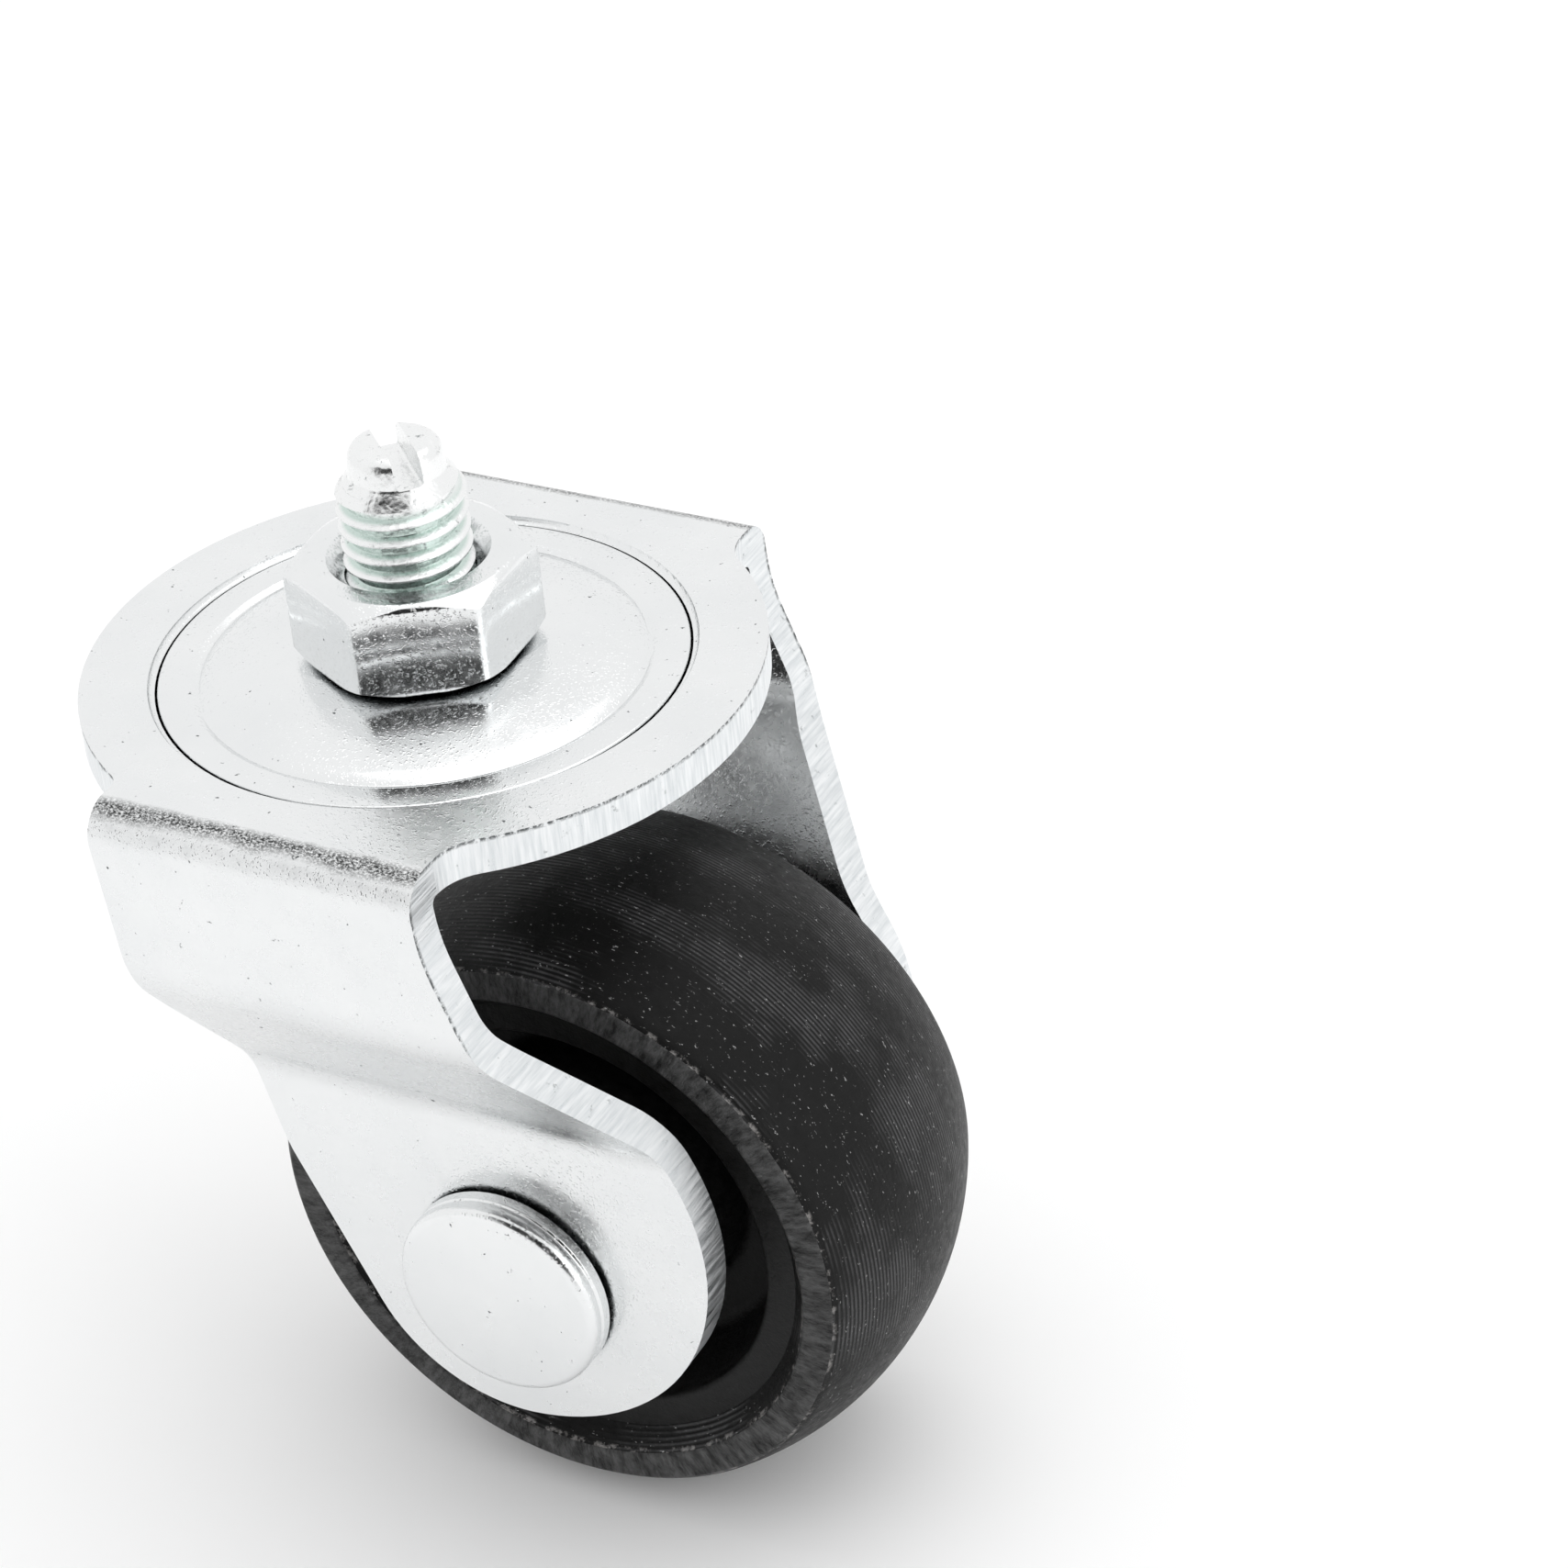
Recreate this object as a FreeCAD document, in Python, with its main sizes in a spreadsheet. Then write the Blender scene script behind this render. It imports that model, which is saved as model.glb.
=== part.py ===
"""Swivel caster with a threaded stem: pressed steel fork on two ball races, one moulded wheel.

Every body is drawn about the top face of the fork plate, or about the axle, and then placed in
the caster's own frame: origin on the stem axis where its free end starts, just above the clamp
nut, +Z up the stem, +X the way the wheel trails, +Y along the axle.  All sizes are millimetres and
degrees.
"""
import FreeCAD, Part
import math
import os
import Sketcher

SIZES = (
    ("plate_top", -9.5, "fork plate's top face, below the start of the stem's free end"),
    ("plate_radius", 26.5, "round fork plate"),
    ("sheet", 3.0, "fork sheet thickness"),
    ("shoulder_y", 27.8, "outer face of the arm just below the fold"),
    ("ear_y", 18.4, "outer face of the flat axle ear"),
    ("jog_top", 14.9, "depth where the arm starts to lean inwards"),
    ("jog_angle", 36.5, "lean of the arm between shoulder and ear"),
    ("fold_bend", 2.8, "outer radius of the plate fold"),
    ("fold_inner", 0.6, "inner radius of the plate fold"),
    ("jog_bend", 8.0, "radius on the convex side of the jog bends"),
    ("jog_inner", 5.0, "radius on the hollow side of the jog bends"),
    ("arm_back", 12.7, "half of the fold's length behind the stem"),
    ("arm_front", 15.0, "half of the fold's length on the trail side"),
    ("trail", 13.0, "axle's offset from the stem"),
    ("axle_drop", 43.6, "axle's depth below the plate's top face"),
    ("ear_big", 19.0, "round of the ear on the trail side"),
    ("ear_small", 13.2, "round of the ear's lower back corner"),
    ("ear_low", 57.0, "depth of the ear's lowest point"),
    ("ring_inner", 20.7, "inner edge of the plate's flat ring"),
    ("ring_round", 0.5, "rounded lip of the flat ring"),
    ("dish_wall", 0.4, "how far the dish wall slopes in"),
    ("dish_depth", 3.3, "depth of the pressed ball dish"),
    ("dish_hole", 8.2, "hole in the middle of the dish"),
    ("cap_radius", 20.4, "upper race cap"),
    ("cap_crown", 1.1, "height of the cap's flat crown above the plate"),
    ("cap_flat", 8.0, "radius of the cap's flat crown"),
    ("cap_dome", 29.3, "radius of the dome between the crown and the cap's flange"),
    ("cap_crease", 17.4, "radius where the dome meets the flange"),
    ("cap_rim", 0.35, "drop of the cap's flange below the plate's top face"),
    ("race_sheet", 1.3, "thickness of the race pressings"),
    ("ball_radius", 1.25, "race balls"),
    ("upper_pitch", 13.2, "radius of the upper ball circle"),
    ("lower_pitch", 10.8, "radius of the lower ball circle"),
    ("ball_gap", 0.08, "play between a ball and a race"),
    ("upper_count", 30, "balls in the upper ring"),
    ("lower_count", 25, "balls in the lower ring"),
    ("stem_radius", 5.0, "M10 thread, major radius"),
    ("stem_tip", 18.7, "stem tip above the plate"),
    ("tip_radius", 3.4, "flat of the stem tip"),
    ("point_radius", 3.8, "foot of the tip's short point"),
    ("point_height", 2.3, "height of the short point"),
    ("tip_chamfer", 4.6, "from the tip down to the full thread"),
    ("relief_radius", 4.1, "ring groove that ends the stem's free length, as deep as the thread"),
    ("relief_width", 0.8, "ring groove"),
    ("shoulder_radius", 6.5, "turned shoulder between the races"),
    ("rivet_shank", 4.0, "stem shank through the lower race"),
    ("rivet_head", 7.0, "spread lower end of the stem"),
    ("rivet_height", 1.8, "height of the spread end"),
    ("slot_width", 2.2, "screwdriver slot"),
    ("slot_depth", 2.3, "screwdriver slot"),
    ("slot_turn", -43.0, "slot's direction about the stem"),
    ("nut_flats", 17.0, "M10 nut, across flats"),
    ("nut_height", 8.0, "M10 nut"),
    ("nut_gap", 0.2, "play between the nut and the cap"),
    ("nut_bore", 5.06, "nut's bore"),
    ("nut_sink", 6.1, "mouth of the nut's countersink"),
    ("nut_turn", -27.0, "direction of one corner of the nut"),
    ("wheel_radius", 27.6, "crown of the tread"),
    ("tread_edge", 24.6, "radius where the tread meets the side"),
    ("tyre_half", 12.3, "half width of the tyre"),
    ("tyre_lip", 21.6, "inner edge of the tyre's side ring"),
    ("rim_radius", 20.4, "outside of the core's rim"),
    ("rim_half", 10.4, "half width of the core's rim"),
    ("rim_wall", 2.6, "thickness of the core's rim"),
    ("web_half", 2.6, "half thickness of the core's web"),
    ("hub_radius", 11.4, "outside of the hub"),
    ("hub_half", 13.2, "half length of the hub"),
    ("bush_radius", 8.0, "outside of a hub bush"),
    ("bush_length", 9.0, "hub bush, without its flange"),
    ("bush_flange", 1.0, "thickness of the bush flange"),
    ("bush_flange_radius", 9.4, "bush flange"),
    ("sleeve_radius", 6.0, "axle sleeve, outside"),
    ("run_play", 0.05, "running clearance of a bush on the sleeve"),
    ("washer_radius", 9.4, "thrust washer"),
    ("washer_sheet", 0.9, "thrust washer thickness"),
    ("axle_radius", 4.0, "axle shank"),
    ("head_radius", 8.7, "axle head"),
    ("head_height", 2.6, "axle head"),
    ("head_collar", 7.7, "collar under the axle head"),
    ("collar_height", 0.35, "collar under the axle head"),
    ("head_round", 0.8, "rounded rim of the axle head"),
    ("peen_radius", 6.2, "spread end of the axle"),
    ("peen_height", 2.0, "spread end of the axle"),
    ("back_washer_radius", 7.6, "washer under the spread end"),
    ("back_washer_sheet", 1.0, "washer under the spread end"),
    ("front_corner", 4.4, "hollow corner between the plate's rim and an arm, on the trail side"),
    ("back_corner", 1.5, "the same corner behind the stem"),
    ("brow_round", 16.0, "soft bend of the trailing edge below the fold"),
    ("neck_round", 12.0, "hollow round of the trailing edge"),
    ("back_round", 14.0, "soft bends of the back edge"),
)
BIG = 90.0        # longer than any part of the caster, for cuts that go right through
TOUCH = 1e-3      # how near an edge has to lie to the place that is asked for

doc = FreeCAD.newDocument("swivel_caster")
sheet = doc.addObject("Spreadsheet::Sheet", "D")


def fill_sheet():
    for row, (alias, size, note) in enumerate(SIZES, start=1):
        sheet.set(f"A{row}", note)
        sheet.set(f"B{row}", str(size))
        sheet.setAlias(f"B{row}", alias)
    doc.recompute()


def number(text):
    """The value of an expression in the sheet's cells."""
    return float(sheet.evalExpression(text))


def new_body(name, turn=None):
    """A body drawn about the top face of the fork plate."""
    body = doc.addObject("PartDesign::Body", name)
    body.Label = name
    body.setExpression("Placement.Base.z", "D.plate_top")
    if turn:
        body.setExpression("Placement.Rotation.Angle", turn)
    return body


def new_axle_body(name):
    """A body drawn about the middle of the axle."""
    body = doc.addObject("PartDesign::Body", name)
    body.Label = name
    body.setExpression("Placement.Base.x", "D.trail")
    body.setExpression("Placement.Base.z", "D.plate_top - D.axle_drop")
    return body


def sketch_on(body, role, name):
    sketch = body.newObject("Sketcher::SketchObject", name)
    plane = next(part for part in body.Origin.OriginFeatures if part.Role == role)
    sketch.AttachmentSupport = [(plane, "")]
    sketch.MapMode = "FlatFace"
    return sketch


def arc_between(start, end, radius):
    """The shorter arc from start to end; a negative radius bulges to the left of the way."""
    chord = end - start
    left = FreeCAD.Vector(-chord.y, chord.x, 0).normalize()
    size = abs(radius)
    sagitta = size - math.sqrt(size ** 2 - (chord.Length / 2) ** 2)
    middle = (start + end) * 0.5 + left * math.copysign(sagitta, -radius)
    return Part.Arc(start, middle, end)


def outline(sketch, corners, arcs=None):
    """A closed outline whose corners are pairs of expressions; arcs gives a side's radius."""
    arcs = arcs or {}
    count = len(corners)
    first = sketch.GeometryCount
    points = [FreeCAD.Vector(number(across), number(along), 0) for across, along in corners]
    for side, start in enumerate(points):
        end = points[(side + 1) % count]
        if side in arcs:
            sketch.addGeometry(arc_between(start, end, number(arcs[side])))
        else:
            sketch.addGeometry(Part.LineSegment(start, end))
    ends = [arc_ends(sketch, first + side, points[side]) for side in range(count)]
    for side in range(count):
        after = (side + 1) % count
        sketch.addConstraint(
            Sketcher.Constraint("Coincident", first + side, ends[side][1], first + after, ends[after][0]))
    for side, (across, along) in enumerate(corners):
        bind(sketch, "DistanceX", first + side, ends[side][0], across)
        bind(sketch, "DistanceY", first + side, ends[side][0], along)
    for side, radius in arcs.items():
        place = sketch.addConstraint(Sketcher.Constraint("Radius", first + side, abs(number(radius))))
        sketch.setExpression(f"Constraints[{place}]", f"abs({radius})")


def arc_ends(sketch, item, start):
    """Which end point of a side is its first and which its last: an arc may be stored turned round."""
    if (sketch.getPoint(item, 1) - start).Length < TOUCH:
        return 1, 2
    return 2, 1


def bind(sketch, kind, item, end, text):
    place = sketch.addConstraint(Sketcher.Constraint(kind, -1, 1, item, end, number(text)))
    sketch.setExpression(f"Constraints[{place}]", text)


def circle(sketch, radius, height="0"):
    """A full circle on the sketch's vertical axis."""
    item = sketch.addGeometry(Part.Circle(FreeCAD.Vector(0, number(height), 0),
                                          FreeCAD.Vector(0, 0, 1), number(radius)))
    bind(sketch, "DistanceX", item, 3, "0")
    bind(sketch, "DistanceY", item, 3, height)
    place = sketch.addConstraint(Sketcher.Constraint("Radius", item, number(radius)))
    sketch.setExpression(f"Constraints[{place}]", radius)


def revolve(body, name, role, axis, corners, arcs=None, kind="Revolution"):
    sketch = sketch_on(body, role, f"{name}_profile")
    outline(sketch, corners, arcs)
    feature = body.newObject(f"PartDesign::{kind}", name)
    feature.Profile = sketch
    feature.ReferenceAxis = (sketch, [axis])
    feature.Angle = 360
    doc.recompute()
    return feature


def turned(body, name, corners, arcs=None, kind="Revolution"):
    """Turned about the stem axis; corners are radius and height."""
    return revolve(body, name, "XZ_Plane", "V_Axis", corners, arcs, kind)


def turned_on_axle(body, name, corners, arcs=None):
    """Turned about the axle; corners are place along the axle and radius."""
    return revolve(body, name, "YZ_Plane", "H_Axis", corners, arcs)


def pad_both_ways(body, name, sketch, length):
    feature = body.newObject("PartDesign::Pad", name)
    feature.Profile = sketch
    feature.Midplane = True
    feature.setExpression("Length", length)
    doc.recompute()
    return feature


def cut_through(body, name, sketch):
    """A pocket right through, both ways, that has to take material away."""
    before = body.Shape.Volume
    feature = body.newObject("PartDesign::Pocket", name)
    feature.Profile = sketch
    feature.Midplane = True
    feature.Length = 2 * BIG
    doc.recompute()
    if body.Shape.Volume > before - TOUCH:
        raise RuntimeError(f"{name} cuts nothing")
    return feature


def edges_near(body, wanted):
    """Names of the edges whose middle is wanted, in the body's own frame."""
    return [f"Edge{place}" for place, edge in enumerate(body.Tip.Shape.Edges, start=1)
            if wanted(edge.CenterOfMass)]


def round_edges(body, name, wanted, radius):
    names = edges_near(body, wanted)
    if not names:
        raise RuntimeError(f"{name} finds no edge")
    base = body.Tip
    feature = body.newObject("PartDesign::Fillet", name)
    feature.Base = (base, names)
    feature.setExpression("Radius", radius)
    doc.recompute()
    return feature


# ---------------------------------------------------------------- stem and races, which stand still

def threaded_stem():
    """Stem with its major-diameter wall, a slotted tip, a turned shoulder and a spread lower end."""
    body = new_body("threaded_stem", turn="D.slot_turn")
    seat = "D.cap_crown - D.race_sheet"
    free_end = "-D.plate_top"
    lower = "-(D.dish_depth + D.sheet + 2*D.ball_radius + 3*D.ball_gap)"
    turned(body, "stem_blank", [
        ("0", "D.stem_tip"),
        ("D.tip_radius", "D.stem_tip"),
        ("D.point_radius", "D.stem_tip - D.point_height"),
        ("D.stem_radius", "D.stem_tip - D.tip_chamfer"),
        ("D.stem_radius", free_end),
        ("D.relief_radius", free_end),
        ("D.relief_radius", f"{free_end} - D.relief_width"),
        ("D.stem_radius", f"{free_end} - D.relief_width"),
        ("D.stem_radius", seat),
        ("D.shoulder_radius", seat),
        ("D.shoulder_radius", lower),
        ("D.rivet_shank", lower),
        ("D.rivet_shank", f"{lower} - D.race_sheet"),
        ("D.rivet_head", f"{lower} - D.race_sheet"),
        ("0.75*D.rivet_head", f"{lower} - D.race_sheet - D.rivet_height"),
        ("0", f"{lower} - D.race_sheet - D.rivet_height"),
    ])
    slot = sketch_on(body, "YZ_Plane", "slot_outline")
    outline(slot, [
        ("-0.5*D.slot_width", "D.stem_tip - D.slot_depth"),
        ("0.5*D.slot_width", "D.stem_tip - D.slot_depth"),
        ("0.5*D.slot_width", "D.stem_tip + 1"),
        ("-0.5*D.slot_width", "D.stem_tip + 1"),
    ])
    cut_through(body, "slot", slot)
    return body


def clamp_nut():
    """Hexagon nut chamfered at both ends, with a countersunk bore."""
    body = new_body("clamp_nut", turn="D.nut_turn")
    low = "D.cap_crown + D.nut_gap"
    high = f"{low} + D.nut_height"
    corner = "D.nut_flats / (2*cos(30))"
    sketch = sketch_on(body, "XY_Plane", "hexagon")
    outline(sketch, [(f"{corner}*cos({60 * side})", f"{corner}*sin({60 * side})") for side in range(6)])
    blank = body.newObject("PartDesign::Pad", "nut_blank")
    blank.Profile = sketch
    blank.setExpression("Length", high)
    doc.recompute()
    above = f"{high} + 1"
    turned(body, "nut_bore", [("0", "-1"), ("D.nut_bore", "-1"), ("D.nut_bore", above), ("0", above)],
           kind="Groove")
    turned(body, "nut_underside", [("0", "-1"), (corner + " + 1", "-1"), (corner + " + 1", low), ("0", low)],
           kind="Groove")
    for name, end, way in (("top", high, "-"), ("bottom", low, "+")):
        turned(body, f"{name}_chamfer", [
            ("0.475*D.nut_flats", end),
            (f"{corner} + 1", end),
            (f"{corner} + 1", f"{end} {way} tan(30)*({corner} + 1 - 0.475*D.nut_flats)"),
        ], kind="Groove")
        turned(body, f"{name}_countersink", [
            ("D.nut_bore - 1", end),
            ("D.nut_sink", end),
            ("D.nut_bore - 1", f"{end} {way} (D.nut_sink - D.nut_bore + 1)"),
        ], kind="Groove")
    return body


def upper_race_cap():
    """Domed pressing staked on the stem; its flange lies just below the fork's flat ring."""
    body = new_body("upper_race_cap")
    turned(body, "cap_pressing", [
        ("D.stem_radius", "D.cap_crown"),
        ("D.cap_flat", "D.cap_crown"),
        ("D.cap_crease", "-D.cap_rim - 0.1"),
        ("D.cap_radius - 0.3", "-D.cap_rim"),
        ("D.cap_radius", "-D.cap_rim - 0.3"),
        ("D.cap_radius", "-D.cap_rim - D.race_sheet"),
        ("D.cap_crease", "-D.cap_rim - D.race_sheet"),
        ("D.cap_flat", "D.cap_crown - D.race_sheet"),
        ("D.stem_radius", "D.cap_crown - D.race_sheet"),
    ], arcs={1: "-D.cap_dome", 6: "D.cap_dome"})
    return body


def lower_race_cup():
    """Cup under the fork, held by the stem's spread end, with a raised rim round the balls."""
    body = new_body("lower_race_cup")
    floor = "-(D.dish_depth + D.sheet + 2*D.ball_radius + 3*D.ball_gap)"
    inside = "D.lower_pitch + D.ball_radius + 0.4"
    lip = "-(D.dish_depth + D.sheet + 0.5*D.ball_radius)"
    turned(body, "cup_pressing", [
        ("D.rivet_shank", floor),
        (inside, floor),
        (inside, lip),
        (f"{inside} + D.race_sheet", lip),
        (f"{inside} + D.race_sheet", f"{floor} - 0.3*D.race_sheet"),
        (f"{inside} + 0.3*D.race_sheet", f"{floor} - D.race_sheet"),
        ("D.rivet_shank", f"{floor} - D.race_sheet"),
    ])
    return body


def ball_ring(name, centre, pitch, count):
    """One ring of loose balls, each ball its own solid."""
    balls = []
    for place in range(int(number(count))):
        ball = doc.addObject("Part::Sphere", f"{name}_{place + 1}")
        turn = f"{place}*360/{count}"
        ball.setExpression("Radius", "D.ball_radius")
        ball.setExpression("Placement.Base.x", f"{pitch}*cos({turn})")
        ball.setExpression("Placement.Base.y", f"{pitch}*sin({turn})")
        ball.setExpression("Placement.Base.z", f"D.plate_top + {centre}")
        balls.append(ball)
    ring = doc.addObject("Part::Compound", name)
    ring.Label = name
    ring.Links = balls
    doc.recompute()
    return ring


# ---------------------------------------------------------------- fork and axle, which swivel

def fork_band(body):
    """The folded strip seen along X: plate, shoulders, inward jogs and flat ears, all one thickness."""
    ear_corner = "-(D.jog_top + (D.shoulder_y - D.ear_y)/tan(D.jog_angle))"
    lift = "D.sheet*tan(0.5*D.jog_angle)"
    half = [
        ("D.shoulder_y", "0"),
        ("D.shoulder_y", "-D.jog_top"),
        ("D.ear_y", ear_corner),
        ("D.ear_y", "-(D.ear_low + 2)"),
        ("D.ear_y - D.sheet", "-(D.ear_low + 2)"),
        ("D.ear_y - D.sheet", f"{ear_corner} + {lift}"),
        ("D.shoulder_y - D.sheet", f"-D.jog_top + {lift}"),
        ("D.shoulder_y - D.sheet", "-D.sheet"),
    ]
    other = [(f"-({across})", along) for across, along in reversed(half)]
    sketch = sketch_on(body, "YZ_Plane", "band_outline")
    outline(sketch, half + other)
    pad_both_ways(body, "band", sketch, "4*D.plate_radius")
    bends = (
        ("fold_outside", "D.shoulder_y", "0", "D.fold_bend"),
        ("fold_inside", "D.shoulder_y - D.sheet", "-D.sheet", "D.fold_inner"),
        ("shoulder_outside", "D.shoulder_y", "-D.jog_top", "D.jog_bend"),
        ("shoulder_inside", "D.shoulder_y - D.sheet", f"-D.jog_top + {lift}", "D.jog_inner"),
        ("ear_outside", "D.ear_y", ear_corner, "D.jog_inner"),
        ("ear_inside", "D.ear_y - D.sheet", f"{ear_corner} + {lift}", "D.jog_bend"),
    )
    for name, across, along, radius in bends:
        spot = (number(across), number(along))
        round_edges(body, name, lambda middle, spot=spot:
                    abs(abs(middle.y) - spot[0]) < TOUCH and abs(middle.z - spot[1]) < TOUCH, radius)


def fork_plan_cut(body):
    """The plate seen from above: a circle that runs out into the two folds."""
    sketch = sketch_on(body, "XY_Plane", "plan_outline")
    front = "sqrt(D.plate_radius^2 - D.arm_front^2)"
    back = "sqrt(D.plate_radius^2 - D.arm_back^2)"
    reach = "2.2*D.plate_radius"
    wide = "D.shoulder_y + 5"
    for way, arm, meet, radius in (("", "D.arm_front", front, "D.plate_radius"),
                                   ("-", "D.arm_back", back, "-D.plate_radius")):
        outline(sketch, [
            (f"{way}{arm}", f"-({wide})"),
            (f"{way}{arm}", f"-({meet})"),
            (f"{way}{arm}", meet),
            (f"{way}{arm}", wide),
            (f"{way}{reach}", wide),
            (f"{way}{reach}", f"-({wide})"),
        ], arcs={1: radius})
    before = body.Shape.Volume
    feature = body.newObject("PartDesign::Pocket", "plan_cut")
    feature.Profile = sketch
    feature.Midplane = True
    feature.setExpression("Length", "2*D.sheet")
    doc.recompute()
    if body.Shape.Volume > before - TOUCH:
        raise RuntimeError("plan_cut cuts nothing")
    for name, across, along in (("front_corner", "D.arm_front", front), ("back_corner", "-D.arm_back", back)):
        spot = (number(across), number(along))
        round_edges(body, f"plate_{name}", lambda middle, spot=spot:
                    abs(middle.x - spot[0]) < TOUCH and abs(abs(middle.y) - spot[1]) < TOUCH, f"D.{name}")


def fork_side_cut(body):
    """The arms seen along the axle: they sweep back to the axle and end in rounded ears."""
    sketch = sketch_on(body, "XZ_Plane", "side_outline")
    reach = "2.2*D.plate_radius"
    top = "-D.sheet"
    low = "-(D.ear_low + 5)"
    tip = ("D.trail + 1.1", "-D.ear_low")
    outline(sketch, [
        ("D.arm_front", top),
        ("D.arm_front + 0.2", "-D.sheet - 3.2"),
        ("D.trail + 6.0", "-D.axle_drop + 27.4"),
        ("D.trail + 14.3", "-D.axle_drop + 15.9"),
        tip,
        (tip[0], low),
        (reach, low),
        (reach, top),
    ], arcs={3: "-D.ear_big"})
    outline(sketch, [
        ("-D.arm_back", top),
        ("-D.arm_back + 1.9", "-D.axle_drop + 24.2"),
        ("D.trail - 19.4", "-D.axle_drop + 7.8"),
        ("D.trail - 12.9", "-D.axle_drop - 6.0"),
        (tip[0], tip[1]),
        (tip[0], low),
        (f"-{reach}", low),
        (f"-{reach}", top),
    ], arcs={3: "D.ear_small"})
    cut_through(body, "side_cut", sketch)
    corners = (
        ("brow", "D.arm_front + 0.2", "-D.sheet - 3.2", "D.brow_round"),
        ("neck", "D.trail + 6.0", "-D.axle_drop + 27.4", "D.neck_round"),
        ("back_upper", "-D.arm_back + 1.9", "-D.axle_drop + 24.2", "D.back_round"),
        ("back_lower", "D.trail - 19.4", "-D.axle_drop + 7.8", "D.back_round"),
    )
    for name, across, along, radius in corners:
        spot = (number(across), number(along))
        round_edges(body, name, lambda middle, spot=spot:
                    abs(middle.x - spot[0]) < TOUCH and abs(middle.z - spot[1]) < TOUCH, radius)


def fork_dish(body):
    """The pressed middle of the plate: a dish whose floor both ball rings run on."""
    outer = "D.ring_inner + D.sheet"
    sketch = sketch_on(body, "XY_Plane", "dish_opening")
    circle(sketch, outer)
    feature = body.newObject("PartDesign::Pocket", "dish_cut")
    feature.Profile = sketch
    feature.Midplane = True
    feature.setExpression("Length", "4*D.sheet")
    doc.recompute()
    turned(body, "dish", [
        (outer, "0"),
        ("D.ring_inner + D.ring_round", "0"),
        ("D.ring_inner", "-D.ring_round"),
        ("D.ring_inner - D.dish_wall", "-D.dish_depth"),
        ("D.dish_hole", "-D.dish_depth"),
        ("D.dish_hole", "-D.dish_depth - D.sheet"),
        ("D.ring_inner", "-D.dish_depth - D.sheet"),
        ("D.ring_inner + 0.4*D.sheet", "-D.dish_depth - 0.4*D.sheet"),
        (outer, "-D.sheet"),
    ], arcs={1: "-D.ring_round"})


def fork():
    """Fork pressed from one sheet."""
    body = new_body("fork")
    fork_band(body)
    fork_plan_cut(body)
    fork_side_cut(body)
    fork_dish(body)
    bores = sketch_on(body, "XZ_Plane", "axle_bores")
    item = bores.addGeometry(Part.Circle(FreeCAD.Vector(number("D.trail"), number("-D.axle_drop"), 0),
                                         FreeCAD.Vector(0, 0, 1), number("D.axle_radius")))
    bind(bores, "DistanceX", item, 3, "D.trail")
    bind(bores, "DistanceY", item, 3, "-D.axle_drop")
    place = bores.addConstraint(Sketcher.Constraint("Radius", item, number("D.axle_radius")))
    bores.setExpression(f"Constraints[{place}]", "D.axle_radius")
    cut_through(body, "axle_bore", bores)
    return body


def axle():
    """Headed axle: a wide flat head outside the front ear and a spread end outside the back washer."""
    body = new_axle_body("axle")
    face = "-(D.ear_y + D.collar_height + D.head_height)"
    under = "-(D.ear_y + D.collar_height)"
    back = "D.ear_y + D.back_washer_sheet"
    turned_on_axle(body, "axle_blank", [
        (face, "0"),
        (face, "D.head_radius - D.head_round"),
        (f"{face} + D.head_round", "D.head_radius"),
        (under, "D.head_radius"),
        (under, "D.head_collar"),
        ("-D.ear_y", "D.head_collar"),
        ("-D.ear_y", "D.axle_radius"),
        (back, "D.axle_radius"),
        (back, "D.peen_radius"),
        (f"{back} + 0.4*D.peen_height", "D.peen_radius"),
        (f"{back} + D.peen_height", "0.55*D.peen_radius"),
        (f"{back} + D.peen_height", "0"),
    ], arcs={1: "-D.head_round"})
    return body


def tube(name, start, end, inside, outside):
    """A plain ring or tube on the axle."""
    body = new_axle_body(name)
    turned_on_axle(body, f"{name}_blank", [(start, inside), (end, inside), (end, outside), (start, outside)])
    return body


# ---------------------------------------------------------------- wheel, which rolls

def hub_bush(name, way):
    """Flanged plain bush pressed into one end of the hub."""
    body = new_axle_body(name)
    inside = "D.sleeve_radius + D.run_play"
    corners = [
        ("D.hub_half - D.bush_length", inside),
        ("D.hub_half + D.bush_flange", inside),
        ("D.hub_half + D.bush_flange", "D.bush_flange_radius"),
        ("D.hub_half", "D.bush_flange_radius"),
        ("D.hub_half", "D.bush_radius"),
        ("D.hub_half - D.bush_length", "D.bush_radius"),
    ]
    turned_on_axle(body, f"{name}_blank", [(f"{way}({along})", radius) for along, radius in corners])
    return body


def wheel_core():
    """Moulded core: hub, web and rim, deeply recessed on both sides."""
    body = new_axle_body("wheel_core")
    half = [
        ("D.rim_half", "D.rim_radius"),
        ("D.rim_half", "D.rim_radius - D.rim_wall"),
        ("D.web_half + 1", "D.rim_radius - D.rim_wall - 1.2"),
        ("D.web_half", "D.rim_radius - D.rim_wall - 2.2"),
        ("D.web_half", "D.hub_radius + 1.0"),
        ("D.web_half + 1", "D.hub_radius"),
        ("D.hub_half", "D.hub_radius - 0.8"),
        ("D.hub_half", "D.bush_radius"),
    ]
    other = [(f"-({along})", radius) for along, radius in reversed(half)]
    turned_on_axle(body, "core_blank", half + other)
    return body


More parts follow.
